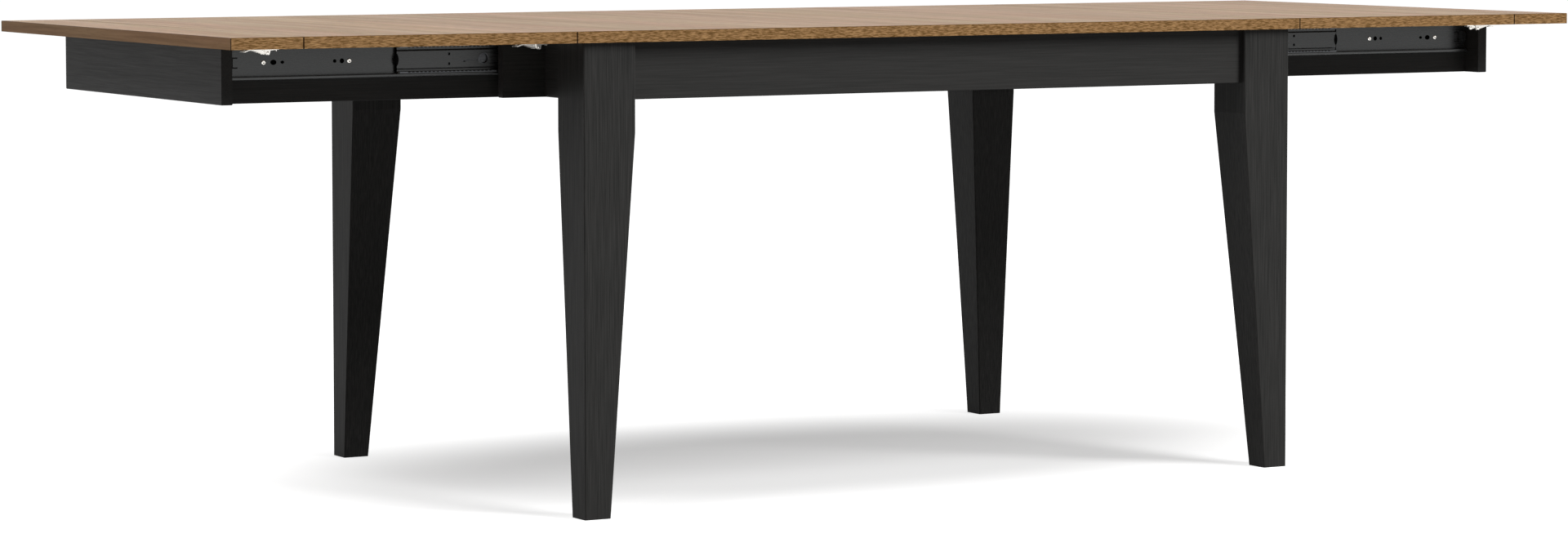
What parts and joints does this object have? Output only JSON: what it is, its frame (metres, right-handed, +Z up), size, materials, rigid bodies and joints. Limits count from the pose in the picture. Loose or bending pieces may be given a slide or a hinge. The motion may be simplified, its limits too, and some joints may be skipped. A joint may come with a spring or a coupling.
{
  "type": "extension dining table",
  "caption": "Rectangular dining table with tapered legs whose ends draw out on ball-bearing slides to take a loose leaf at each end; shown drawn out with the leaves in.",
  "frame": {"origin": "on the floor, under the middle of the table top", "axes": "+X along the table to the right-hand end, +Y from the front side to the back side, +Z up"},
  "size_m": [2.514, 0.97, 0.76],
  "materials": {
    "natural_wood": "greyed natural oak, matt lacquer",
    "black_wood": "black stain over open grain, matt",
    "slide_steel": "zinc-plated rolled steel",
    "latch_steel": "nickel-plated pressed steel",
    "rubber": "matt moulded rubber"
  },
  "bodies": {
    "frame": {"main_top": "natural_wood", "leg_front_left": "black_wood", "leg_front_right": "black_wood", "apron_front": "black_wood", "bearer_front": "black_wood", "leg_back_left": "black_wood", "leg_back_right": "black_wood", "apron_back": "black_wood", "bearer_back": "black_wood", "short_aprons": "black_wood", "centre_cross_rail": "black_wood", "corner_blocks": "black_wood", "keepers_main_top": "latch_steel", "slide_inner_left": "slide_steel", "slide_inner_right": "slide_steel"},
    "left_end": {"end_panel_left": "natural_wood", "end_apron_left": "black_wood", "moving_rail_front_left": "black_wood", "moving_rail_back_left": "black_wood", "end_brace_left": "black_wood", "slide_outer_left": "slide_steel", "latch_bases_end_left": "latch_steel"},
    "left_slide_middles": {"slide_middle_left": "slide_steel", "slide_bumpers_left": "rubber"},
    "left_outer_ball_cages": {"ball_cages_outer_left": "slide_steel"},
    "left_inner_ball_cages": {"ball_cages_inner_left": "slide_steel"},
    "left_leaf": {"leaf_left": "natural_wood", "keepers_leaf_left": "latch_steel", "latch_bases_leaf_left": "latch_steel"},
    "lever_leaf_front_left": {"latch_lever_leaf_front_left": "latch_steel"},
    "bail_leaf_front_left": {"latch_bail_leaf_front_left": "latch_steel"},
    "lever_leaf_back_left": {"latch_lever_leaf_back_left": "latch_steel"},
    "bail_leaf_back_left": {"latch_bail_leaf_back_left": "latch_steel"},
    "lever_end_front_left": {"latch_lever_end_front_left": "latch_steel"},
    "bail_end_front_left": {"latch_bail_end_front_left": "latch_steel"},
    "lever_end_back_left": {"latch_lever_end_back_left": "latch_steel"},
    "bail_end_back_left": {"latch_bail_end_back_left": "latch_steel"},
    "right_end": {"end_panel_right": "natural_wood", "end_apron_right": "black_wood", "moving_rail_front_right": "black_wood", "moving_rail_back_right": "black_wood", "end_brace_right": "black_wood", "slide_outer_right": "slide_steel", "latch_bases_end_right": "latch_steel"},
    "right_slide_middles": {"slide_middle_right": "slide_steel", "slide_bumpers_right": "rubber"},
    "right_outer_ball_cages": {"ball_cages_outer_right": "slide_steel"},
    "right_inner_ball_cages": {"ball_cages_inner_right": "slide_steel"},
    "right_leaf": {"leaf_right": "natural_wood", "keepers_leaf_right": "latch_steel", "latch_bases_leaf_right": "latch_steel"},
    "lever_leaf_front_right": {"latch_lever_leaf_front_right": "latch_steel"},
    "bail_leaf_front_right": {"latch_bail_leaf_front_right": "latch_steel"},
    "lever_leaf_back_right": {"latch_lever_leaf_back_right": "latch_steel"},
    "bail_leaf_back_right": {"latch_bail_leaf_back_right": "latch_steel"},
    "lever_end_front_right": {"latch_lever_end_front_right": "latch_steel"},
    "bail_end_front_right": {"latch_bail_end_front_right": "latch_steel"},
    "lever_end_back_right": {"latch_lever_end_back_right": "latch_steel"},
    "bail_end_back_right": {"latch_bail_end_back_right": "latch_steel"}
  },
  "joints": [
    {"name": "left_end_slide", "type": "slide", "parent": "frame", "child": "left_end", "axis": [1, 0, 0], "range_m": [0, 0.457]},
    {"name": "left_middle_slide", "type": "slide", "parent": "frame", "child": "left_slide_middles", "axis": [1, 0, 0], "range_m": [0, 0.17777]},
    {"name": "left_outer_cage_slide", "type": "slide", "parent": "frame", "child": "left_outer_ball_cages", "axis": [1, 0, 0], "range_m": [0, 0.31739]},
    {"name": "left_inner_cage_slide", "type": "slide", "parent": "frame", "child": "left_inner_ball_cages", "axis": [1, 0, 0], "range_m": [0, 0.08889]},
    {"name": "left_leaf_lift", "type": "slide", "parent": "frame", "child": "left_leaf", "axis": [0, 0, 1], "range_m": [0, 0.457]},
    {"name": "lever_leaf_front_left_hinge", "type": "hinge", "parent": "left_leaf", "child": "lever_leaf_front_left", "pos_m": [-0.6925, -0.361, 0.7326], "axis": [0, -1, 0], "range_deg": [0, 120]},
    {"name": "bail_leaf_front_left_hinge", "type": "hinge", "parent": "lever_leaf_front_left", "child": "bail_leaf_front_left", "pos_m": [-0.7, -0.361, 0.7354], "axis": [0, -1, 0], "range_deg": [-138, 0]},
    {"name": "lever_leaf_back_left_hinge", "type": "hinge", "parent": "left_leaf", "child": "lever_leaf_back_left", "pos_m": [-0.6925, 0.361, 0.7326], "axis": [0, -1, 0], "range_deg": [0, 120]},
    {"name": "bail_leaf_back_left_hinge", "type": "hinge", "parent": "lever_leaf_back_left", "child": "bail_leaf_back_left", "pos_m": [-0.7, 0.361, 0.7354], "axis": [0, -1, 0], "range_deg": [-138, 0]},
    {"name": "lever_end_front_left_hinge", "type": "hinge", "parent": "left_end", "child": "lever_end_front_left", "pos_m": [-1.1495, -0.361, 0.7326], "axis": [0, -1, 0], "range_deg": [0, 120]},
    {"name": "bail_end_front_left_hinge", "type": "hinge", "parent": "lever_end_front_left", "child": "bail_end_front_left", "pos_m": [-1.157, -0.361, 0.7354], "axis": [0, -1, 0], "range_deg": [-138, 0]},
    {"name": "lever_end_back_left_hinge", "type": "hinge", "parent": "left_end", "child": "lever_end_back_left", "pos_m": [-1.1495, 0.361, 0.7326], "axis": [0, -1, 0], "range_deg": [0, 120]},
    {"name": "bail_end_back_left_hinge", "type": "hinge", "parent": "lever_end_back_left", "child": "bail_end_back_left", "pos_m": [-1.157, 0.361, 0.7354], "axis": [0, -1, 0], "range_deg": [-138, 0]},
    {"name": "right_end_slide", "type": "slide", "parent": "frame", "child": "right_end", "axis": [-1, 0, 0], "range_m": [0, 0.457]},
    {"name": "right_middle_slide", "type": "slide", "parent": "frame", "child": "right_slide_middles", "axis": [-1, 0, 0], "range_m": [0, 0.17777]},
    {"name": "right_outer_cage_slide", "type": "slide", "parent": "frame", "child": "right_outer_ball_cages", "axis": [-1, 0, 0], "range_m": [0, 0.31739]},
    {"name": "right_inner_cage_slide", "type": "slide", "parent": "frame", "child": "right_inner_ball_cages", "axis": [-1, 0, 0], "range_m": [0, 0.08889]},
    {"name": "right_leaf_lift", "type": "slide", "parent": "frame", "child": "right_leaf", "axis": [0, 0, 1], "range_m": [0, 0.457]},
    {"name": "lever_leaf_front_right_hinge", "type": "hinge", "parent": "right_leaf", "child": "lever_leaf_front_right", "pos_m": [0.6925, -0.361, 0.7326], "axis": [0, 1, 0], "range_deg": [0, 120]},
    {"name": "bail_leaf_front_right_hinge", "type": "hinge", "parent": "lever_leaf_front_right", "child": "bail_leaf_front_right", "pos_m": [0.7, -0.361, 0.7354], "axis": [0, 1, 0], "range_deg": [-138, 0]},
    {"name": "lever_leaf_back_right_hinge", "type": "hinge", "parent": "right_leaf", "child": "lever_leaf_back_right", "pos_m": [0.6925, 0.361, 0.7326], "axis": [0, 1, 0], "range_deg": [0, 120]},
    {"name": "bail_leaf_back_right_hinge", "type": "hinge", "parent": "lever_leaf_back_right", "child": "bail_leaf_back_right", "pos_m": [0.7, 0.361, 0.7354], "axis": [0, 1, 0], "range_deg": [-138, 0]},
    {"name": "lever_end_front_right_hinge", "type": "hinge", "parent": "right_end", "child": "lever_end_front_right", "pos_m": [1.1495, -0.361, 0.7326], "axis": [0, 1, 0], "range_deg": [0, 120]},
    {"name": "bail_end_front_right_hinge", "type": "hinge", "parent": "lever_end_front_right", "child": "bail_end_front_right", "pos_m": [1.157, -0.361, 0.7354], "axis": [0, 1, 0], "range_deg": [-138, 0]},
    {"name": "lever_end_back_right_hinge", "type": "hinge", "parent": "right_end", "child": "lever_end_back_right", "pos_m": [1.1495, 0.361, 0.7326], "axis": [0, 1, 0], "range_deg": [0, 120]},
    {"name": "bail_end_back_right_hinge", "type": "hinge", "parent": "lever_end_back_right", "child": "bail_end_back_right", "pos_m": [1.157, 0.361, 0.7354], "axis": [0, 1, 0], "range_deg": [-138, 0]}
  ],
  "couplings": [
    {"joint": "left_middle_slide", "follows": "left_end_slide", "ratio": 0.389},
    {"joint": "left_outer_cage_slide", "follows": "left_end_slide", "ratio": 0.6945},
    {"joint": "left_inner_cage_slide", "follows": "left_end_slide", "ratio": 0.1945},
    {"joint": "left_leaf_lift", "follows": "left_end_slide", "ratio": 1},
    {"joint": "bail_leaf_front_left_hinge", "follows": "lever_leaf_front_left_hinge", "ratio": -1.15},
    {"joint": "bail_leaf_back_left_hinge", "follows": "lever_leaf_back_left_hinge", "ratio": -1.15},
    {"joint": "bail_end_front_left_hinge", "follows": "lever_end_front_left_hinge", "ratio": -1.15},
    {"joint": "bail_end_back_left_hinge", "follows": "lever_end_back_left_hinge", "ratio": -1.15},
    {"joint": "right_middle_slide", "follows": "right_end_slide", "ratio": 0.389},
    {"joint": "right_outer_cage_slide", "follows": "right_end_slide", "ratio": 0.6945},
    {"joint": "right_inner_cage_slide", "follows": "right_end_slide", "ratio": 0.1945},
    {"joint": "right_leaf_lift", "follows": "right_end_slide", "ratio": 1},
    {"joint": "bail_leaf_front_right_hinge", "follows": "lever_leaf_front_right_hinge", "ratio": -1.15},
    {"joint": "bail_leaf_back_right_hinge", "follows": "lever_leaf_back_right_hinge", "ratio": -1.15},
    {"joint": "bail_end_front_right_hinge", "follows": "lever_end_front_right_hinge", "ratio": -1.15},
    {"joint": "bail_end_back_right_hinge", "follows": "lever_end_back_right_hinge", "ratio": -1.15}
  ]
}
